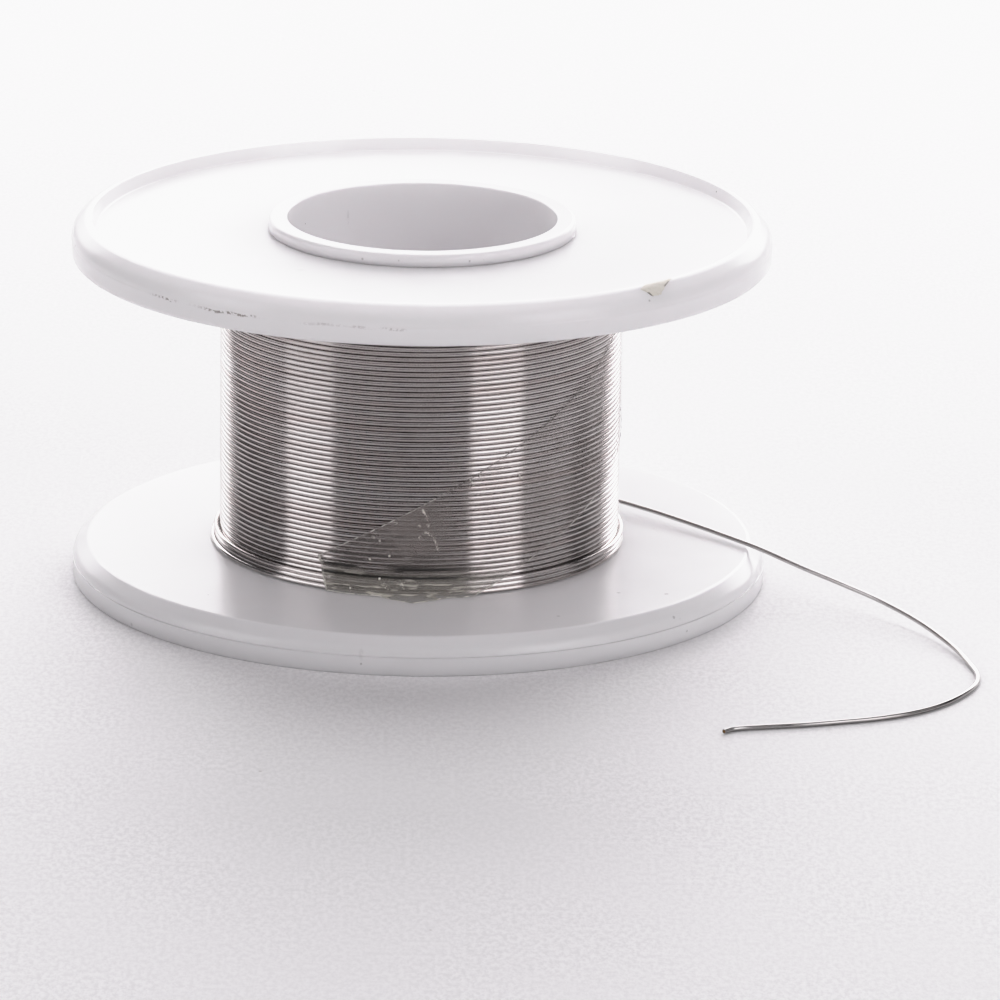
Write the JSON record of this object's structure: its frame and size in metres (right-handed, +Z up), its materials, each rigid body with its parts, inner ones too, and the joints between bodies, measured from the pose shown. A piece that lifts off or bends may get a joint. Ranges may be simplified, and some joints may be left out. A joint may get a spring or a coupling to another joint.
{
  "type": "solder wire spool",
  "caption": "White moulded reel of thin solder wire: flanges on an open core, a close-wound coil, a strip of clear tape and a free wire tail lying on the table.",
  "frame": {"origin": "on the spool's axis, on the surface that the lower flange's rim stands on", "axes": "+Z up along the spool's axis, from the lower flange to the upper one; -Y is the front, towards which the wire's free end lies, and +X is the side where the wire leaves the winding"},
  "size_m": [0.0716, 0.0692, 0.0295],
  "materials": {
    "white_plastic": "glossy moulded white plastic with fine scuffs",
    "solder": "bright drawn tin alloy, slightly warm, with dull drawing lines",
    "clear_film": "clear adhesive tape, slightly yellowed and creased"
  },
  "bodies": {
    "spool": {"lower_flange": "white_plastic", "upper_flange": "white_plastic", "core_tube": "white_plastic", "inner_layers": "solder", "outer_layer": "solder", "last_turns": "solder", "clear_tape": "clear_film"},
    "free_end": {"wire_tail": "solder"}
  },
  "joints": [
    {"name": "unwind", "type": "hinge", "parent": "spool", "child": "free_end", "pos_m": [0, 0, 0], "axis": [0, 0, 1], "continuous": true}
  ]
}
